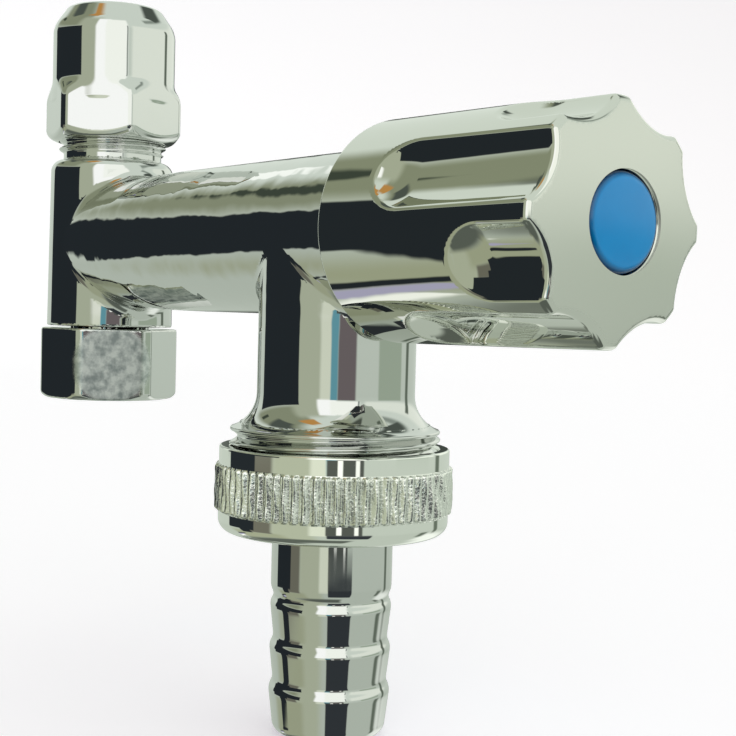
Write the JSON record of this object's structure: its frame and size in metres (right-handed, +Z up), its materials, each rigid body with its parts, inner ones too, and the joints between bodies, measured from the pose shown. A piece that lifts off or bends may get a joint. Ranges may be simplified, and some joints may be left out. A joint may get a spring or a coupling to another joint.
{
  "type": "washing machine valve",
  "caption": "Chrome appliance valve: tee with union nut below and compression nut above, horizontal body, fluted handle, and a downward hose outlet with knurled nut and barbed tail.",
  "frame": {"origin": "centre of the inlet gasket's lower face on the tee's axis, where the supply's threaded end seals", "axes": "+Z up the tee, +X along the run to the handle, +Y to the back"},
  "size_m": [0.1181, 0.03, 0.0993],
  "materials": {
    "chrome_cast": "bright chrome plate on polished cast brass",
    "chrome_nut": "bright chrome plate on turned brass",
    "chrome_knurled": "chrome plate on knurled brass",
    "chrome_tail": "chrome plate on turned brass",
    "chrome_handle": "bright chrome plate on die-cast metal",
    "blue_cap": "smooth moulded plastic",
    "spring_steel": "spring steel",
    "plated_screw": "zinc plate",
    "brass_turned": "plain turned brass",
    "gasket_fibre": "red vulcanised fibre",
    "black_rubber": "moulded rubber"
  },
  "bodies": {
    "body": {"valve_body": "chrome_cast", "inlet_snap_ring": "spring_steel", "inlet_gasket": "gasket_fibre", "headwork_bonnet": "brass_turned", "bonnet_gasket": "gasket_fibre"},
    "inlet_nut": {"inlet_union_nut": "chrome_nut"},
    "olive": {"compression_olive": "brass_turned"},
    "top_nut": {"compression_nut": "chrome_nut"},
    "tail": {"hose_tail": "chrome_tail", "hose_tail_gasket": "black_rubber"},
    "outlet_nut": {"outlet_union_nut": "chrome_knurled"},
    "knob": {"handle": "chrome_handle", "handle_screw": "plated_screw", "index_cap": "blue_cap", "spindle": "brass_turned", "spindle_o_ring_inner": "black_rubber", "spindle_o_ring_outer": "black_rubber", "spindle_circlip": "spring_steel"},
    "plunger": {"disc_carrier": "brass_turned", "carrier_o_ring": "black_rubber", "seat_disc": "black_rubber", "disc_screw": "brass_turned"}
  },
  "joints": [
    {"name": "handle_turn", "type": "hinge", "parent": "body", "child": "knob", "pos_m": [0.07315, 0, 0.0183], "axis": [1, 0, 0], "range_deg": [0, 720]},
    {"name": "disc_lift", "type": "slide", "parent": "body", "child": "plunger", "axis": [1, 0, 0], "range_m": [0, 0.00401]},
    {"name": "inlet_nut_spin", "type": "hinge", "parent": "body", "child": "inlet_nut", "pos_m": [0, 0, 0], "axis": [0, 0, 1], "continuous": true},
    {"name": "olive_lift", "type": "slide", "parent": "body", "child": "olive", "axis": [0, 0, 1], "range_m": [-0.00134, 0.00536]},
    {"name": "compression_nut_turn", "type": "hinge", "parent": "olive", "child": "top_nut", "pos_m": [0, 0, 0.0341], "axis": [0, 0, 1], "range_deg": [-360, 1440]},
    {"name": "tail_drop", "type": "slide", "parent": "body", "child": "tail", "axis": [0, 0, -1], "range_m": [0, 0.00545]},
    {"name": "outlet_nut_turn", "type": "hinge", "parent": "tail", "child": "outlet_nut", "pos_m": [0.06025, 0, -0.0134], "axis": [0, 0, -1], "range_deg": [0, 1080]}
  ],
  "couplings": [
    {"joint": "disc_lift", "follows": "handle_turn", "m_per_rad": 0.00031831},
    {"joint": "olive_lift", "follows": "compression_nut_turn", "m_per_rad": 0.00021279},
    {"joint": "tail_drop", "follows": "outlet_nut_turn", "m_per_rad": 0.00028871}
  ]
}
